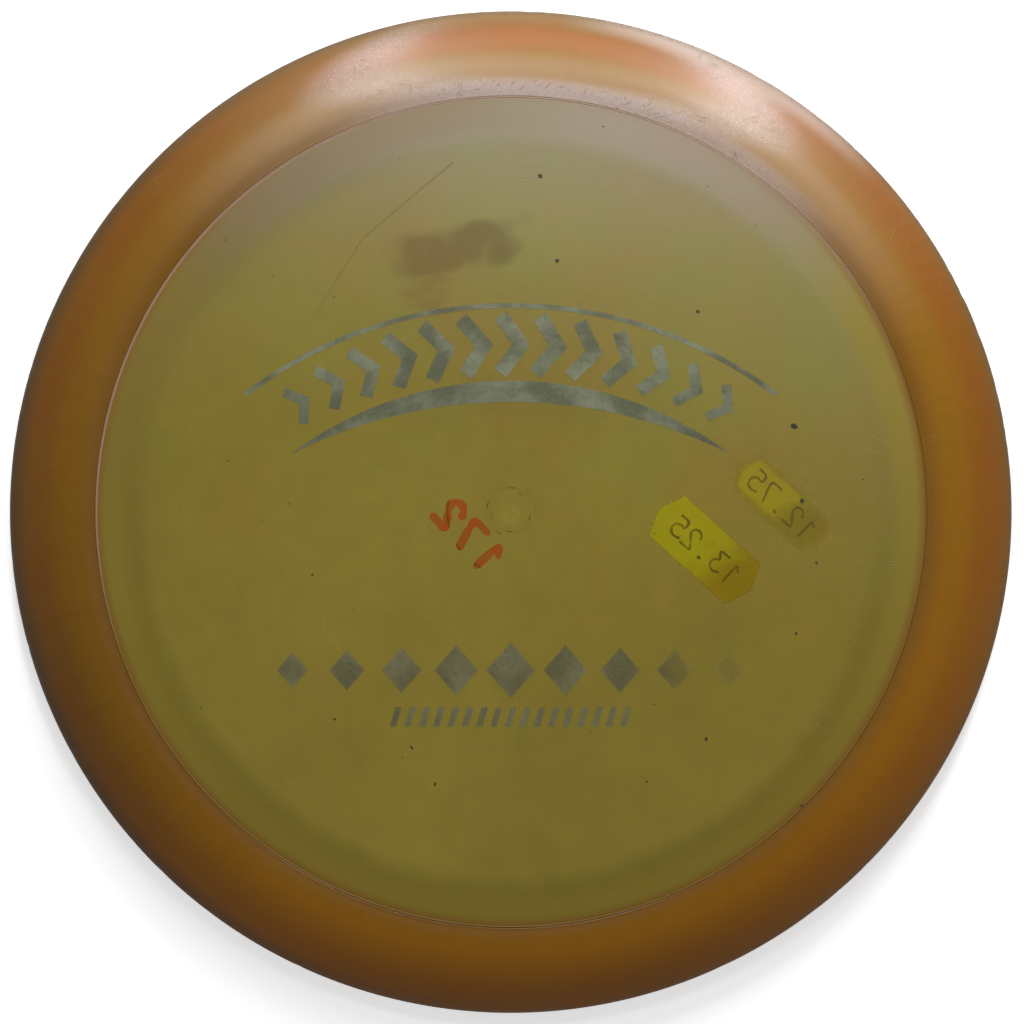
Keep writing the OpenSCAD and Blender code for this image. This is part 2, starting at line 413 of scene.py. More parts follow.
def chevron_band():
    outlines = []
    step = 2 * band_half / (chevrons + 1)
    for i in range(1, chevrons + 1):
        grow = 0.55 + 0.45 * math.sin(math.pi * i / (chevrons + 1))
        half = chevron_l * grow / 2
        lean = 0.36 * half
        mark = stroke([(-half, -lean), (0, lean), (half, -lean)], chevron_w * grow)
        turn = 90 + band_half - i * step
        place = plus(band_centre, way(turn), band_r)
        outlines.append(fine(moved(mark, turn + 180, place), 0.5, 0.04, seed=i))
    return outlines


def arc_outline():
    low = band_r + chevron_l / 2 + band_gap
    first, last = 90 - band_half, 90 + band_half
    return (arc(band_centre, low, first, last, 120)
            + arc(band_centre, low + arc_w, last, first, 120))


def crescent_outline():
    high = band_r - chevron_l / 2 - band_gap
    end = plus((0, 0), way(90 - band_half), high)
    sag = high - end[1] - crescent_w
    low = (end[0] ** 2 + sag**2) / (2 * sag)
    low_centre = plus(band_centre, (0, high - crescent_w - low))
    half = math.degrees(math.asin(end[0] / low))
    return (arc(band_centre, high, 90 - band_half, 90 + band_half, 100)
            + arc(low_centre, low, 90 + half, 90 - half, 100)[1:-1])


foil_chevron_band = layer("foil_chevron_band", chevron_band(), 0, foil_t)
foil_thin_arc = layer("foil_thin_arc", [fine(arc_outline(), 0.8, 0.03)], 0, foil_t)
foil_crescent_leaf = layer("foil_crescent_leaf", [fine(crescent_outline(), 0.8, 0.03)], 0, foil_t)
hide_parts("foil_chevrons")
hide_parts("foil_arc")
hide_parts("foil_crescent")

# %% The lower stamp
diamonds = 9
diamond_pitch = 11.4
diamond_w = 10.0
diamond_h = 11.5
row_y = 33.0
bar_gap = 2.0
bars = 17
bar_pitch = 3.0
bar_w = 1.3
bar_h = 4.0


def diamond_row():
    outlines = []
    for i in range(diamonds):
        away = i - (diamonds - 1) / 2
        grow = 1 - 0.09 * abs(away)
        w, h = diamond_w / 2 * grow, diamond_h / 2 * grow
        mark = [(-w, 0), (0, -h), (w, 0), (0, h)]
        outlines.append(fine(moved(mark, 0, (away * diamond_pitch, -row_y)), 0.5, 0.04, seed=i))
    return outlines


def bar_row():
    outlines = []
    lean = 0.3 * bar_h / 2
    w, h = bar_w / 2, bar_h / 2
    y = -row_y - diamond_h / 2 - bar_gap - h
    for i in range(bars):
        x = (i - (bars - 1) / 2) * bar_pitch
        mark = [(-w - lean, -h), (w - lean, -h), (w + lean, h), (lean - w, h)]
        outlines.append(fine(moved(mark, 0, (x, y)), 0.4, 0.03, seed=i))
    return outlines


foil_diamond_row = layer("foil_diamond_row", diamond_row(), 0, foil_t)
foil_bar_row = layer("foil_bar_row", bar_row(), 0, foil_t)
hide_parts("foil_diamonds")
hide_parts("foil_bars")
foil_pieces = [foil_chevron_band, foil_thin_arc, foil_crescent_leaf, foil_diamond_row,
               foil_bar_row]

# %% [markdown]
# ## The price labels
#
# A price gun cuts its labels from a strip, and the cut between two labels is wavy, which gives
# each end two points and a lobe. The paper is soft: it is made as a grid that can ripple, and
# one corner of the old label has come loose. A label's glued face is pressed into the plate by
# a few hundredths of a millimetre, as glue fills the plastic's fine scratches.

# %% Labels as rippled grids
label_l = 26.0
label_w = 12.0
lobe = 1.8
label_t = 0.12
price_out = 41.3
label_gap = 5.8
old_slide = 5.5
glue_in = 0.02
loose_from = 0.72
price_turn = 138
old_turn = 136
price_at = plus((0, 0), way(-11), price_out)
old_at = plus(plus(price_at, way(price_turn - 90), label_w + label_gap),
              way(price_turn), -old_slide)


def label_piece(name, at, turn, ripple, loose, seed):
    """loose lifts the paper off the plate towards the far end, in millimetres."""
    luck = random.Random(seed)
    swells = [(luck.uniform(0.3, 1.1), luck.uniform(0.3, 1.1), luck.uniform(0, 6))
              for _ in range(5)]
    mesh = bmesh.new()
    cols, rows = 78, 36
    sheets = []
    for side in (0, 1):
        grid = []
        for i in range(cols + 1):
            line = []
            for j in range(rows + 1):
                u, v = 2 * i / cols - 1, 2 * j / rows - 1
                x = u * (label_l / 2 - lobe + lobe * (1 + math.cos(math.pi * v)) / 2)
                y = v * label_w / 2
                worn = 0.05 * math.sin(9 * u + 5 * v) * abs(u * v) ** 6
                (px, py), = from_below([(x * (1 - worn), y * (1 - worn))], turn, at)
                wave = sum(math.sin(a * x + b * y + c) for a, b, c in swells) / len(swells)
                edge = max(0.0, u - loose_from) / (1 - loose_from) * max(0.0, v) ** 2
                drop = glue_in if side else -label_t
                drop -= ripple * (1 + wave) / 2 + loose * edge**2
                z = dome_z(math.hypot(px, py), -plate_t) + drop
                line.append(mesh.verts.new((px * MM, py * MM, z * MM)))
            grid.append(line)
        sheets.append(grid)
    for grid in sheets:
        for i in range(cols):
            for j in range(rows):
                mesh.faces.new((grid[i][j], grid[i + 1][j], grid[i + 1][j + 1], grid[i][j + 1]))
    low, high = sheets
    rim_path = ([(i, 0) for i in range(cols)] + [(cols, j) for j in range(rows)]
                + [(i, rows) for i in range(cols, 0, -1)] + [(0, j) for j in range(rows, 0, -1)])
    for (i, j), (k, m) in zip(rim_path, rim_path[1:] + rim_path[:1]):
        mesh.faces.new((low[i][j], low[k][m], high[k][m], high[i][j]))
    return piece_from(name, mesh)


price_label_paper = label_piece("price_label_paper", price_at, price_turn, 0.02, 0.0, 3)
old_label_paper = label_piece("old_label_paper", old_at, old_turn, 0.02, 0.35, 5)
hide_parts("price_label")
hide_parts("old_price_label")

# %% [markdown]
# ## Printed and written figures
#
# The figures on the labels come from a worn inked wheel, and the weight is written by hand
# with a thick marker. Both are paths of a few points, smoothed by cutting their corners twice,
# and then given a width that wanders and round ends. They are plain numbers.

# %% Figures as smoothed strokes
ink_t = 0.04
figure_h = 5.0
figure_w = 0.6
figure_pitch = 0.72 * figure_h
pen_h = 8.0
pen_w = 1.9
pen_gap = 0.6
pen_pitch = 0.74 * pen_h
pen_turn = 132
pen_slide = 2.3
pen_at = plus(plus((0, 0), way(pen_turn + 90), ring_r + ring_w + pen_gap + pen_h / 2),
              way(pen_turn), pen_slide)
figure_paths = {
    "1": [(0.2, 1.25), (0.55, 1.6), (0.55, 0)],
    "2": [(0, 1.2), (0.12, 1.46), (0.45, 1.6), (0.8, 1.48), (0.9, 1.15), (0.7, 0.8), (0, 0),
          (1, 0)],
    "3": [(0.05, 1.6), (0.95, 1.6), (0.45, 0.98), (0.82, 0.84), (0.95, 0.45), (0.72, 0.1),
          (0.35, 0), (0, 0.18)],
    "5": [(0.9, 1.6), (0.15, 1.6), (0.1, 0.92), (0.5, 1.02), (0.85, 0.86), (0.97, 0.5),
          (0.8, 0.14), (0.4, 0), (0, 0.14)],
    "7": [(0, 1.6), (1, 1.6), (0.4, 0)],
}


def eased(path, times):
    """A path with its corners cut, a little more each time."""
    for _ in range(times):
        inner = []
        for a, b in zip(path, path[1:]):
            inner += [plus(a, (b[0] - a[0], b[1] - a[1]), share) for share in (0.2, 0.8)]
        path = [path[0]] + inner[1:-1] + [path[-1]]
    return path


def pen_stroke(path, width, wander, seed):
    """A stroke's left and right edges. Its width wanders by a share and its ends are round."""
    phase = random.Random(seed).uniform(0, 6)
    half = width / 2
    start = unit(plus(path[0], path[1], -1.0))
    finish = unit(plus(path[-1], path[-2], -1.0))
    before = [plus(path[0], start, half * reach) for reach in (0.98, 0.85, 0.6, 0.3)]
    after = [plus(path[-1], finish, half * reach) for reach in (0.3, 0.6, 0.85, 0.98)]
    whole = before + path + after
    reaches = [0.98, 0.85, 0.6, 0.3] + [0] * len(path) + [0.3, 0.6, 0.85, 0.98]
    walk = 0.0
    left, right = [], []
    for i, reach in enumerate(reaches):
        if i:
            walk += math.dist(whole[i - 1], whole[i])
        round_end = math.sqrt(1 - reach**2)
        wide = half * round_end * (1 - wander * (1 + math.sin(2.3 * walk + phase)) / 2)
        left.append(beside(whole, i, wide))
        right.append(beside(whole, i, -wide))
    return left, right


def figure_row(text, height, width, pitch, wander, seed):
    """The strokes of a row of figures, each as its left and its right edge."""
    strokes = []
    cell = (height - width) / 1.6
    for i, sign in enumerate(text):
        left = (i - len(text) / 2) * pitch
        if sign == ".":
            at = (left + pitch / 2 - width / 4, 0.75 * width - height / 2)
            strokes.append(pen_stroke([at, plus(at, (0.05, 0))], 1.5 * width, wander, seed + i))
            continue
        path = [(left + width / 2 + cell * x, width / 2 + cell * y - height / 2)
                for x, y in figure_paths[sign]]
        strokes.append(pen_stroke(eased(path, 3), width, wander, seed + i))
    return strokes


def ribbons(name, strokes, low, high):
    """A closed thin piece like layer's, whose strokes may bend more sharply than they are wide."""
    mesh = bmesh.new()
    for edges in strokes:
        rows = []
        for side, offset in ((0, low), (1, low), (1, high), (0, high)):
            rows.append([mesh.verts.new((x * MM, y * MM, dome_z(math.hypot(x, y), offset) * MM))
                         for x, y in edges[side]])
        count = len(rows[0])
        for i in range(count - 1):
            for a, b in zip(rows, rows[1:] + rows[:1]):
                mesh.faces.new((a[i], a[i + 1], b[i + 1], b[i]))
        for i in (0, count - 1):
            mesh.faces.new([row[i] for row in rows])
    return piece_from(name, mesh, smooth=False)


def figures_below(text, height, width, pitch, wander, seed, turn, at):
    row = figure_row(text, height, width, pitch, wander, seed)
    return [[from_below(edge, turn, at) for edge in edges] for edges in row]


# %% Print on both labels, and the pen's weight figure
under_label = -plate_t - label_t
price_row = figures_below("13.25", figure_h, figure_w, figure_pitch, 0.25, 11, price_turn, price_at)
old_row = figures_below("12.75", figure_h, figure_w, figure_pitch, 0.35, 23, old_turn, old_at)
pen_row = figures_below("172", pen_h, pen_w, pen_pitch, 0.3, 31, pen_turn, pen_at)
price_print = ribbons("price_print", price_row, under_label - ink_t, glue_in - plate_t + 0.01)
old_price_print = ribbons("old_price_print", old_row, under_label - ink_t, glue_in - plate_t + 0.01)
pen_weight_mark = ribbons("pen_weight_mark", pen_row, -plate_t - ink_t, glue_in - plate_t)
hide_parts("price_ink")
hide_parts("old_price_ink")
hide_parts("pen_mark")

# %% [markdown]
# ## Grit in the plate
#
# Play leaves small dark specks in the top of the plate: grit that was pressed into the soft
# plastic. Each is a flake with five to eight uneven corners, half sunk into the surface.

# %% Specks
def flake(centre, size, luck):
    corners = luck.randint(5, 8)
    stretch = luck.uniform(0.45, 1.0)
    lean = luck.uniform(0, 180)
    shape = []
    for i in range(corners):
        reach = size / 2 * luck.uniform(0.6, 1.0)
        x, y = plus((0, 0), way(360 * i / corners + luck.uniform(-15, 15)), reach)
        shape.append((x, y * stretch))
    return moved(shape, lean, centre)


large_scale = 1.25
large_specks = [((6.2, 70.1), 1.2), ((9.6, 52.4), 1.0), ((39.0, 41.8), 0.9), ((59.2, 17.8), 1.8),
                ((60.8, 2.3), 1.3), ((63.8, -10.6), 0.9), ((59.6, -25.4), 0.9),
                ((40.8, -47.4), 0.9), ((60.9, -61.4), 0.8), ((-36.8, -43.3), 0.7),
                ((-20.7, -49.2), 0.9), ((-15.8, -56.8), 0.8), ((-41.4, -13.1), 0.8)]


def speck_outlines():
    luck = random.Random(19)
    outlines = [flake(place, size * large_scale, luck) for place, size in large_specks]
    for _ in range(60):
        reach = inside_r * math.sqrt(luck.uniform(0.02, 0.95))
        place = plus((0, 0), way(luck.uniform(0, 360)), reach)
        outlines.append(flake(place, luck.uniform(0.2, 0.55), luck))
    return outlines


plate_grit = layer("plate_grit", speck_outlines(), -0.05, 0.015)

# %% [markdown]
# ## Shader maths in plain Python
#
# A finish is a tree of nodes. To keep the maths readable, `Wire` wraps one socket and overloads
# the operators, so that `1 - mask * 0.5` adds the two Math nodes it stands for. Every other node
# comes from one method of `Finish`, which takes its type, its settings and its inputs.

# %% Wires and finishes
class Wire:
    """An output socket; an expression on wires and numbers adds Math nodes for it."""

    def __init__(self, finish, socket):
        self.finish = finish
        self.socket = socket

    def math(self, operation, *others):
        values = dict(enumerate((self,) + others))
        return self.finish.node("Math", {"operation": operation}, values)

    def __add__(self, other):
        return self.math("ADD", other)

    def __sub__(self, other):
        return self.math("SUBTRACT", other)

    def __rsub__(self, other):
        return self.finish.node("Math", {"operation": "SUBTRACT"}, {0: other, 1: self})

    def __mul__(self, other):
        return self.math("MULTIPLY", other)

    def __truediv__(self, other):
        return self.math("DIVIDE", other)

    __radd__ = __add__
    __rmul__ = __mul__


def set_stops(ramp, stops):
    """Stops are pairs of a position and a colour in hexadecimal digits, in rising order."""
    while len(ramp.elements) < len(stops):
        ramp.elements.new(0.5)
    for element, (position, code) in zip(ramp.elements, stops):
        element.position = position
        element.color = colour(code)


class Finish:
    """One material, whose nodes all come from the node method."""

    def __init__(self, name):
        self.material = bpy.data.materials.new(name)
        self.material.use_nodes = True
        self.tree = self.material.node_tree
        self.tree.nodes.clear()
        place = self.node("TexCoord", {}, {}, "Object")
        self.place = self.node("VectorMath", {"operation": "SCALE"}, {0: place, "Scale": 1 / MM})
        self.x, self.y = [self.node("SeparateXYZ", {}, {0: self.place}, axis) for axis in "XY"]
        self.radius = (self.x * self.x + self.y * self.y).math("SQRT")
        self.turn = self.y.math("ARCTAN2", self.x)

    def node(self, kind, settings, values, output=0):
        made = self.tree.nodes.new("ShaderNode" + kind)
        for key, value in settings.items():
            if key == "stops":
                set_stops(made.color_ramp, value)
            else:
                setattr(made, key, value)
        for key, value in values.items():
            if isinstance(value, Wire):
                self.tree.links.new(value.socket, made.inputs[key])
            else:
                made.inputs[key].default_value = value
        return Wire(self, made.outputs[output]) if made.outputs else None

    def step(self, value, low, high):
        """0 below low, 1 above high and a smooth rise between; low may be the larger."""
        settings = {"interpolation_type": "SMOOTHSTEP"}
        if low > high:
            return 1 - self.step(value, high, low)
        return self.node("MapRange", settings, {"Value": value, 1: low, 2: high})

    def vector(self, x, y, z):
        return self.node("CombineXYZ", {}, {0: x, 1: y, 2: z})

    def noise(self, size, detail=3.0, place=None):
        """Soft noise from 0 to 1 about 0.5, whose features are about size millimetres."""
        values = {"Vector": place or self.place, "Scale": 1 / size, "Detail": detail,
                  "Roughness": 0.55}
        return self.node("TexNoise", {}, values)

    def blend(self, share, a, b):
        """Colour a where share is 0 and colour b where it is 1."""
        return self.node("Mix", {"data_type": "RGBA"}, {0: share, 6: a, 7: b}, 2)

    def ramp(self, value, low, high, stops):
        """A colour that follows value through stops, given at values from low to high."""
        share = (value - low) / (high - low)
        placed = [((at - low) / (high - low), code) for at, code in stops]
        return self.node("ValToRGB", {"stops": placed}, {"Fac": share})

    def coats(self, tone, *coats):
        """Lays colours over a tone in turn, each a pair of a share and hexadecimal digits."""
        for share, code in coats:
            tone = self.blend(share, tone, colour(code))
        return tone

    def bump(self, height, depth):
        """A normal from a height of 0 to 1 that stands for a depth in millimetres."""
        values = {"Height": height, "Distance": depth * MM, "Strength": 1.0}
        return self.node("Bump", {}, values)

    def shader(self, **values):
        """A Principled shader; an underscore in a name stands for a space."""
        named = {key.replace("_", " "): value for key, value in values.items()}
        return self.node("BsdfPrincipled", {}, named)

    def show(self, shader):
        self.node("OutputMaterial", {}, {"Surface": shader})
        return self.material


def colour(code, alpha=1.0):
    """A colour written as six hexadecimal digits, turned into the linear light of shaders."""
    parts = [int(code[i:i + 2], 16) / 255 for i in (0, 2, 4)]
    linear = [p / 12.92 if p <= 0.04045 else ((p + 0.055) / 1.055) ** 2.4 for p in parts]
    return (*linear, alpha)


# %% [markdown]
# ## Wear that several finishes share
#
# Play scratches a disc in every direction. The surface is divided into irregular cells, and
# each cell has a direction of its own. Noise that is stretched a hundredfold along it has long
# thin crests, and those above a threshold are the scratches.

# %% Scratches and scuffs
def hairlines(finish, cell, long, wide, cut):
    """A mask of scratches, in cells so many millimetres wide; a higher cut leaves fewer."""
    cells = finish.node("TexVoronoi", {"voronoi_dimensions": "2D"},
                        {"Vector": finish.place, "Scale": 1 / cell}, "Color")
    turn, shift, crowd = [finish.node("SeparateColor", {}, {0: cells}, i) for i in range(3)]
    c = (turn * math.pi).math("COSINE")
    s = (turn * math.pi).math("SINE")
    along = finish.x * c + finish.y * s
    across = finish.y * c - finish.x * s
    stretched = finish.vector(along / long, across / wide, shift * 60)
    lines = finish.node("TexNoise", {}, {"Vector": stretched, "Scale": 1.0, "Detail": 1.0})
    return finish.step(lines, cut, cut + 0.05) * finish.step(crowd, 0.3, 0.6)


def most_of(*masks):
    top = masks[0]
    for mask in masks[1:]:
        top = top.math("MAXIMUM", mask)
    return top


def ring_mask(finish, centre, half, sharp):
    """1 on a ring about the axis, falling to 0 at half millimetres to either side."""
    return finish.step((finish.radius - centre).math("ABSOLUTE"), half, half * sharp)


def facing(finish, degrees, narrow, wide):
    """1 towards one side of the disc, falling from narrow to wide degrees away from it."""
    c, s = way(degrees)
    near = (finish.x * c + finish.y * s) / finish.radius
    return finish.step(near, math.cos(math.radians(wide)), math.cos(math.radians(narrow)))


# %% [markdown]
# ## The rim's finish
#
# The rim is thick tinted polyurethane. Its colour changes with depth and with the flow of the
# melt: brown-yellow next to the plate, amber on the wing, and a reddish streak that wanders
# round the disc between the crown and the nose. The streak follows the melt's flow, so it is a
# ring whose radius swings with the angle and is blurred by noise that runs along the rim. Light
# and shade are painted into the colour too: painted shade darkens the left side, painted fill
# light lifts the near side, and the far side is paler with a painted sheen. Round an oval there
# and at the crease, scuffs are mixed with a painted highlight.

# %% Amber with a wandering reddish streak
rim_stops = [(86.5, "704c0e"), (88.5, "7d520d"), (91.5, "8b5e10"), (95.0, "8b5e13"),
             (98.5, "885812"), (102.0, "825212"), (104.0, "7a5012"), (105.5, "604814")]


streak_r = 100.4
# Where scuffs and a painted highlight lie, round an oval on the far side.
oval_turn = 84
oval_half_turn = 26
oval_r = 96.5
oval_half_w = 8.0
oval_band = 0.36


def along_rim(f, stretch, depth):
    """Noise that runs along the rim, as if on a cylinder round the disc's axis."""
    x, y = f.x / f.radius, f.y / f.radius
    return f.noise(1.0, 2.0, f.vector(x * stretch, y * stretch, f.radius / depth))


def amber(f, flow):
    """The plastic's colour by depth, with reddish streaks, plus painted fill light on the near side
    and painted shade on the left side.
    """
    swing = (f.turn + 0.35).math("SINE") * 0.8 + (f.turn * 2 - 0.9).math("SINE") * 1.2
    streak = ring_mask(f, streak_r + swing + (flow - 0.5) * 4, 5.5, 0.1)
    low_red = ring_mask(f, 104.0, 7.0, 0.2) * facing(f, 272, 8, 40)
    # Painted fill light: the near side is made lighter, where the lamps behind the far edge leave
    # it dim.
    painted_fill_side = facing(f, 285, 30, 90) * f.step(f.radius, 88, 94)
    return f.coats(f.ramp(f.radius, 86, 106, rim_stops),
                   ((flow - 0.3) * 0.5, "85620f"),
                   (streak * f.step(flow, 0.3, 0.6) * 0.45, "8a450f"),
                   (low_red * 0.5, "5e2c10"),
                   (f.step(along_rim(f, 45, 25), 0.4, 0.75) * 0.12, "6a4010"),
                   (painted_fill_side * 0.55, "a6680f"),
                   # Painted shade: the left side of the rim is darker.
                   (facing(f, 172, 20, 75) * 0.35, "5e4414"))


def oval_scuffs_and_highlight(f):
    """A band of scuffs mixed with a painted highlight round an oval on the far side, open towards
    the nose.
    """
    turn = (f.turn - math.radians(oval_turn)) / math.radians(oval_half_turn)
    out = (f.radius - oval_r) / oval_half_w
    oval = (turn * turn + out * out).math("SQRT")
    open_side = facing(f, 86, 6, 20) * f.step(f.radius, 96, 100)
    return f.step((oval - 1).math("ABSOLUTE"), oval_band, 0.03) * (1 - open_side)


def rim_finish():
    f = Finish("amber_rim")
    flow = along_rim(f, 6, 12)
    # Scuffs mixed with a painted highlight: round the oval and along the crease on the far side.
    scuffs_and_highlight = oval_scuffs_and_highlight(f)
    crease_scuffs_and_highlight = ring_mask(f, 87.8, 3.4, 0.25) * facing(f, 78, 18, 40)
    lines = hairlines(f, 7, 9, 0.35, 0.66)
    short_lines = hairlines(f, 1.7, 2.6, 0.28, 0.6)
    flecks = f.step(f.noise(0.55, 2.0), 0.54, 0.66)
    # Painted sheen: the far side, towards the lamps, is paler, as the lamps' haze is laid into the
    # colour.
    far_side_sheen = facing(f, 82, 18, 62)
    far_red = ring_mask(f, 98.8 + (flow - 0.5) * 3, 3.4, 0.1) * facing(f, 83, 14, 32)
    # Pale scuffs and a painted highlight on the outer edge towards the right strip lamp.
    outer_gold = f.step(f.radius, 101, 103.5) * facing(f, 90, 8, 24)
    outer_scuffs_and_highlight = f.step(f.radius, 101, 104) * facing(f, 63, 7, 22)
    # Painted shade on the outer edge of the left side.
    outer_painted_shade = f.step(f.radius, 101.5, 105) * facing(f, 188, 35, 95)
    edge = f.step(f.radius, 104.0, 105.2) * f.step(flecks + far_side_sheen * 0.4, 0.1, 0.8)
    base = f.coats(amber(f, flow),
                   (far_side_sheen * (0.1 + 0.25 * f.step(f.radius, 98, 93)), "b3a088"),
                   (far_red * 0.3, "a8684e"),
                   (outer_gold * 0.45, "7c6a48"),
                   (scuffs_and_highlight * (0.24 + flecks * 0.16), "cfc2c4"),
                   (outer_scuffs_and_highlight * 0.5, "b6a8a0"),
                   (crease_scuffs_and_highlight * (0.45 + flecks * 0.15), "c0b0ac"),
                   (short_lines * most_of(scuffs_and_highlight, crease_scuffs_and_highlight) * 0.42, "6a5546"),
                   (lines * 0.07, "a8884c"),
                   (outer_painted_shade * 0.45, "40281c"),
                   (edge * 0.55, "3a3026"))
    rough = 0.34 + flecks * 0.06 + lines * 0.08 + scuffs_and_highlight * 0.06
    dents = f.bump(flecks * 0.2 - lines * 0.3 - short_lines * scuffs_and_highlight, 0.03)
    shine = f.shader(Base_Color=base, Roughness=rough, IOR=1.5, Normal=dents,
                     Specular_IOR_Level=0.25, Coat_Weight=0.14, Coat_Roughness=0.2)
    return f.show(shine)


rim_wing.data.materials.append(rim_finish())

# %% [markdown]
# ## The plate's finish
#
# The plate is clear enough to show the labels under it, and hazy enough to hide the floor.
# Each face of it is a mix of tinted clear plastic and a hazy olive film, so light that comes
# back through it has passed four tinted faces. The top is scratched all over and has a brown
# stain. It is greyer on the far side, a painted reflection of the lamps, darker towards the
# lower left with painted shade, and its bead has a painted highlight on the upper left. Over
# the rim's toe it is hazy enough to hide the hollow's edge, and takes on the rim's brown at the
# joint.

# %% Stain and long scratches
def near_line(f, a, b, width):
    """1 on the straight line from a to b, falling to 0 at width to either side."""
    long = math.dist(a, b)
    c, s = (b[0] - a[0]) / long, (b[1] - a[1]) / long
    across = ((f.y - a[1]) * c - (f.x - a[0]) * s).math("ABSOLUTE")
    along = (f.x - a[0]) * c + (f.y - a[1]) * s
    inside = f.step(along, -width, width) * f.step(along, long + width, long - width)
    return f.step(across, width, 0.3 * width) * inside


def stain(f):
    wobble = f.noise(7.0, 4.0)
    streak = near_line(f, (-25, 52.5), (3, 58), 7.5)
    blob = near_line(f, (-20, 48), (-14, 45), 9.5)
    return f.step(most_of(streak, blob) * 0.6 + wobble * 0.9, 0.62, 1.05)


def gate_marks(f):
    """The brownish flow ring round the gate and the fine line of the mould's insert."""
    wavy = f.noise(2.2, 3.0)
    gate_ring = ring_mask(f, ring_r + ring_w / 2 + (wavy - 0.5) * 4, 1.3, 0.1)
    insert_ring = ring_mask(f, insert_r + groove_w / 2, 0.5, 0.2) * f.step(wavy, 0.35, 0.6)
    return most_of(gate_ring * f.step(wavy, 0.3, 0.6), insert_ring * 0.6)


def plate_top_finish():
    f = Finish("clear_plate_top")
    cloud = f.step(f.noise(22.0, 3.0), 0.35, 0.65)
    mottle = f.noise(5.0, 3.0)
    grain = f.noise(0.8, 3.0)
    lines = hairlines(f, 13, 16, 0.3, 0.7)
    long_scratch = most_of(near_line(f, (-12, 73), (-31, 57), 0.25),
                           near_line(f, (-31, 57), (-41, 41), 0.22))
    # Painted reflection: a grey sheen that grows towards the far side, where the lamps stand.
    rub_and_sheen = f.step(f.y + f.x * 0.3 + f.radius * 0.4, 15, 115)
    brown = stain(f)
    far_side_sheen = facing(f, 88, 22, 62)
    over_toe = f.step(f.radius, 75.0, 82.8)
    joint = f.step(f.radius, 84.4, 86.6) * (1 - far_side_sheen * 0.9)
    smudge = facing(f, 133, 8, 30) * f.step(f.radius, 72, 84)
    # Painted highlight: a pale line along the bead on the upper left side.
    bead = f.step(f.radius, crease_r - 0.7, crease_r - 0.3) * facing(f, 110, 60, 95)
    sheen_tone = f.blend(f.step(f.y, 45, 84), colour("a49c6c"), colour("a8a192"))
    film = f.blend(cloud, colour("575a14"), colour("664e10"))
    # Painted shade: the film darkens towards the lower left.
    film = f.blend(f.step(f.y + f.x * 0.3, 60, -75) * 0.9, film, colour("453d0b"))
    film = f.coats(f.blend(rub_and_sheen * 0.42, film, sheen_tone),
                   (smudge * 0.5, "4e3c20"),
                   (lines * 0.12, "b0a77e"),
                   (brown * 0.75, "5e4a14"),
                   (long_scratch * 0.5, "4a4020"),
                   (over_toe * (1 - far_side_sheen) * 0.85, "8a782a"),
                   # Painted reflection: grey over the toe on the far side.
                   (over_toe * far_side_sheen * 0.8, "8c7c68"),
                   (over_toe * facing(f, 132, 22, 60) * 0.5, "6e5a26"),
                   (joint * 0.9, "7a560c"),
                   (gate_marks(f) * 0.6, "4a360c"),
                   (bead * 0.8, "a08470"))
    haze = 0.42 + mottle * 0.12 + rub_and_sheen * 0.2 + brown * 0.25 + lines * 0.12 + over_toe * 0.56
    dents = f.bump(grain * 0.2 - lines - long_scratch * 1.5, 0.02)
    skin = f.shader(Base_Color=film, Roughness=0.3 + grain * 0.1 + joint * 0.3, IOR=1.5,
                    Normal=dents, Specular_IOR_Level=0.35, Coat_Weight=0.1, Coat_Roughness=0.3)
    clear = f.node("BsdfTransparent", {}, {"Color": colour("f4eaa8")})
    return f.show(f.node("MixShader", {}, {0: haze, 1: clear, 2: skin}))


def plate_under_finish():
    f = Finish("clear_plate_under")
    cloud = f.noise(30.0, 2.0)
    pale_gate = f.step(f.radius, gate_r + 0.6, gate_r - 0.6)
    film = f.coats(f.blend(cloud, colour("625712"), colour("5a4f0d")),
                   (pale_gate * 0.7, "a4985c"),
                   (gate_marks(f) * 0.9, "42300a"))
    skin = f.shader(Base_Color=film, Roughness=0.3, IOR=1.5,
                    Normal=f.bump(f.noise(0.9, 3.0), 0.008))
    clear = f.node("BsdfTransparent", {}, {"Color": colour("f0e49a")})
    return f.show(f.node("MixShader", {}, {0: 0.5 + (cloud - 0.5) * 0.2, 1: clear, 2: skin}))


def dress_plate():
    """Faces that look down get the underside's finish."""
    data = flight_plate_clear.data
    data.materials.append(plate_top_finish())
    data.materials.append(plate_under_finish())
    for face in data.polygons:
        face.material_index = int(face.normal.z < 0.1)


dress_plate()

# %% [markdown]
# ## Foil, paper, ink and grit
#
# Old foil is dull and mottled, and flakes off where it is rubbed, so noise opens small holes in
# it and the lower stamp fades out to one side. Paper is matt with darker blotches where glue
# has soaked in. Print is darker seen from below than through the paper.

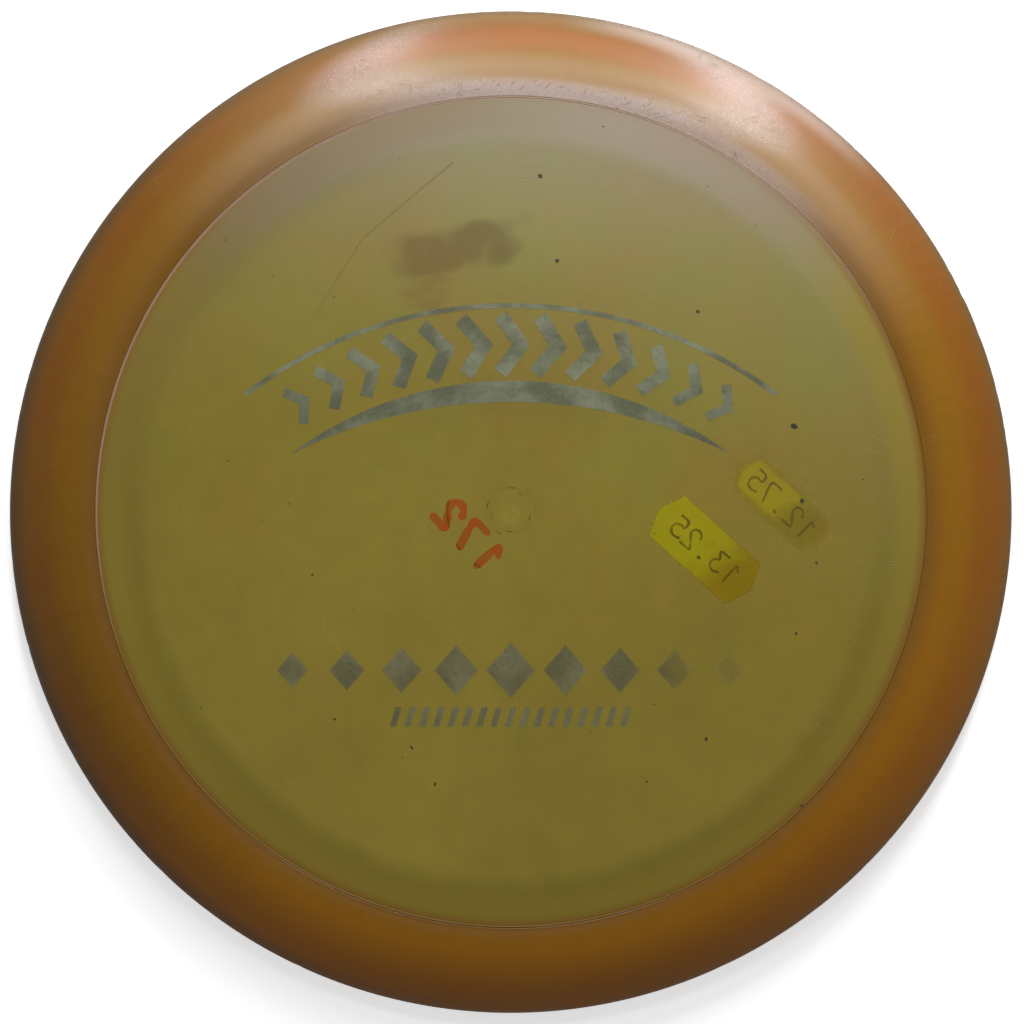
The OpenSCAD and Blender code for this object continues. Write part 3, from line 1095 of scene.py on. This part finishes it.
# %% Worn silver foil
def foil_finish(name, pale, dark, share, fade_from, fade_to):
    """Foil that covers a share of the plate under it, less beyond fade_from along x."""
    f = Finish(name)
    grains = f.step(f.noise(0.5, 2.0), 0.6, 0.7)
    patch = f.noise(9.0, 3.0)
    cloud = f.noise(2.2, 3.0)
    worn = hairlines(f, 11, 16, 0.3, 0.68)
    fade = f.step(f.x, fade_from, fade_to)
    tone = f.blend(f.step(patch, 0.35, 0.65), colour(dark), colour(pale))
    tone = f.blend(f.step(cloud, 0.45, 0.7) * 0.35, tone, colour(dark))
    tone = f.blend(grains * f.step(patch, 0.6, 0.4) * 0.6, tone, colour("33352a"))
    kept = share - f.step(cloud, 0.5, 0.75) * 0.15 - worn * 0.3
    kept = kept * (1 - fade * f.step(patch + fade * 0.25, 0.35, 0.6) * 0.85)
    leaf = f.shader(Base_Color=tone, Metallic=0.55, Roughness=0.45 + cloud * 0.15,
                    Normal=f.bump(cloud, 0.02))
    gone = f.node("BsdfTransparent", {}, {"Color": (1, 1, 1, 1)})
    return f.show(f.node("MixShader", {}, {0: kept, 1: gone, 2: leaf}))


upper_foil = foil_finish("worn_foil_upper", "84886f", "62664f", 0.9, 60, 90)
lower_foil = foil_finish("worn_foil_lower", "8c8a68", "747252", 0.74, 14, 46)
for piece in foil_pieces:
    high = sum(vertex.co.y for vertex in piece.data.vertices) > 0
    piece.data.materials.append(upper_foil if high else lower_foil)


# %% Yellow label paper
def paper_finish(name, at, turn, bright, soaked, painted_glow, wet_from, soft, faded):
    """wet_from is how far along the label the glue has soaked in, soft is the width of its
    blurred edge and faded is the share that is lost at its wet end."""
    f = Finish(name)
    c, s = way(turn)
    along = (f.x - at[0]) * -c + (f.y - at[1]) * -s
    across = (f.y - at[1]) * c - (f.x - at[0]) * s
    weave = f.noise(0.5, 4.0)
    blotch = f.noise(6.0, 3.0)
    wet = f.step(along + (blotch - 0.5) * 16, wet_from - 5, wet_from + 5)
    tone = f.blend(wet * 0.85, colour(bright), colour(soaked))
    tone = f.blend(f.step(weave, 0.4, 0.75) * 0.2, tone, colour(soaked))
    # Painted light: painted_glow makes the paper glow, so it shows brighter through the plate.
    sheet = f.shader(Base_Color=tone, Roughness=0.8, Specular_IOR_Level=0.3,
                     Normal=f.bump(weave, 0.03), Emission_Color=tone, Emission_Strength=painted_glow)
    rough_edge = blotch * soft * 0.8
    wave = 1 - (across * (2 * math.pi / label_w)).math("COSINE")
    past_end = along.math("ABSOLUTE") + wave * (lobe / 2) - label_l / 2
    ends = f.step(past_end + rough_edge, 0, -soft)
    sides = f.step(across.math("ABSOLUTE") - label_w / 2 + rough_edge, 0, -soft)
    kept = ends * sides * (1 - wet * faded)
    gone = f.node("BsdfTransparent", {}, {"Color": (1, 1, 1, 1)})
    return f.show(f.node("MixShader", {}, {0: kept, 1: gone, 2: sheet}))


price_label_paper.data.materials.append(
    paper_finish("yellow_label", price_at, price_turn, "e6ea0c", "baa00a", 0.18, 3, 0.5, 0.0))
old_label_paper.data.materials.append(
    paper_finish("faded_label", old_at, old_turn, "e4e040", "ccb838", 0.14, 2, 2.2, 0.55))


# %% Ink, grit
def ink_finish(name, dark, light, painted_glow=0.0, thin=0.0):
    """thin is how much of the ink is missing where it was laid most thinly."""
    f = Finish(name)
    rub_and_sheen = f.noise(0.7, 4.0)
    pool = f.step(f.noise(2.5, 2.0), 0.35, 0.65)
    tone = f.blend(rub_and_sheen * 0.4 + pool * 0.6, colour(dark), colour(light))
    # Painted light: painted_glow makes the ink glow; only the orange marker has it.
    ink = f.shader(Base_Color=tone, Roughness=0.7, Normal=f.bump(rub_and_sheen, 0.01),
                   Emission_Color=tone, Emission_Strength=painted_glow)
    if not thin:
        return f.show(ink)
    gone = f.node("BsdfTransparent", {}, {"Color": (1, 1, 1, 1)})
    return f.show(f.node("MixShader", {}, {0: 1 - pool * thin, 1: gone, 2: ink}))


label_ink = ink_finish("label_ink", "7c7618", "9a941e", thin=0.5)
for piece in (price_print, old_price_print):
    piece.data.materials.append(label_ink)
pen_weight_mark.data.materials.append(ink_finish("orange_marker", "ea4a12", "e8722a", 0.2, 0.35))
plate_grit.data.materials.append(ink_finish("dark_grit", "1c180c", "3a331a"))

# %% [markdown]
# ## The stage
#
# The camera hangs a metre above the disc and looks straight down, with the longest lens that
# keeps the outline inside the picture. Two soft boxes stand behind the far edge and give the
# rim its two highlights. The floor is pale, and white to the camera, and keeps the shadow.

# %% Camera
camera_lens = 165.9
sensor_w = 36
camera_x = 0.25 * MM
camera_h = 1.0
camera_data = bpy.data.cameras.new("camera")
camera_data.lens = camera_lens
camera_data.sensor_width = sensor_w
camera = bpy.data.objects.new("camera", camera_data)
camera.location = (camera_x, 0.0, camera_h)
bpy.context.scene.collection.objects.link(camera)
bpy.context.scene.camera = camera


# %% Lights
def soft_box(name, place, aim, size, power):
    data = bpy.data.lights.new(name, "AREA")
    data.shape = "RECTANGLE"
    data.size, data.size_y = size
    data.energy = power
    lamp = bpy.data.objects.new(name, data)
    lamp.location = place
    toward = Vector(aim) - Vector(place)
    lamp.rotation_euler = toward.to_track_quat("-Z", "Y").to_euler()
    bpy.context.scene.collection.objects.link(lamp)


soft_box("right_strip", (0.185, 0.343, 0.21), (0.0, 0.03, 0), (0.06, 0.30), 1.4)
soft_box("left_strip", (-0.091, 0.348, 0.259), (0.0, 0.03, 0), (0.05, 0.34), 0.95)
soft_box("top_panel", (0.02, 0.21, 0.60), (0.0, 0.05, 0), (0.20, 0.10), 0.5)


def studio_world():
    """A dim room: dark overhead, where the camera hangs, and paler towards the horizon."""
    world = bpy.data.worlds.new("studio")
    world.use_nodes = True
    tree = world.node_tree
    ray = tree.nodes.new("ShaderNodeTexCoord")
    split = tree.nodes.new("ShaderNodeSeparateXYZ")
    ramp = tree.nodes.new("ShaderNodeMapRange")
    tree.links.new(ray.outputs["Generated"], split.inputs[0])
    tree.links.new(split.outputs["Z"], ramp.inputs["Value"])
    for socket, value in (("From Min", 0.2), ("From Max", 1.0), ("To Min", 0.36), ("To Max", 0.08)):
        ramp.inputs[socket].default_value = value
    tree.links.new(ramp.outputs[0], tree.nodes["Background"].inputs["Strength"])
    tree.nodes["Background"].inputs["Color"].default_value = (1, 1, 1, 1)
    bpy.context.scene.world = world


studio_world()


# %% Floor
floor_half = 3.0
floor_tone = (0.85, 0.85, 0.85, 1)


def floor_finish():
    """The camera sees the floor brighter than it lights the disc."""
    f = Finish("white_floor")
    path = f.node("LightPath", {}, {}, "Is Camera Ray")
    tone = f.shader(Base_Color=floor_tone, Roughness=0.9)
    lit = f.shader(Base_Color=floor_tone, Roughness=0.9,
                   Emission_Color=(1, 1, 1, 1), Emission_Strength=0.6)
    return f.show(f.node("MixShader", {}, {0: path, 1: tone, 2: lit}))


floor_mesh = bmesh.new()
bmesh.ops.create_grid(floor_mesh, x_segments=2, y_segments=2, size=floor_half)
floor_data = bpy.data.meshes.new("floor")
floor_mesh.to_mesh(floor_data)
floor = bpy.data.objects.new("floor", floor_data)
floor.data.materials.append(floor_finish())
bpy.context.scene.collection.objects.link(floor)

bpy.context.scene.view_settings.view_transform = "Standard"
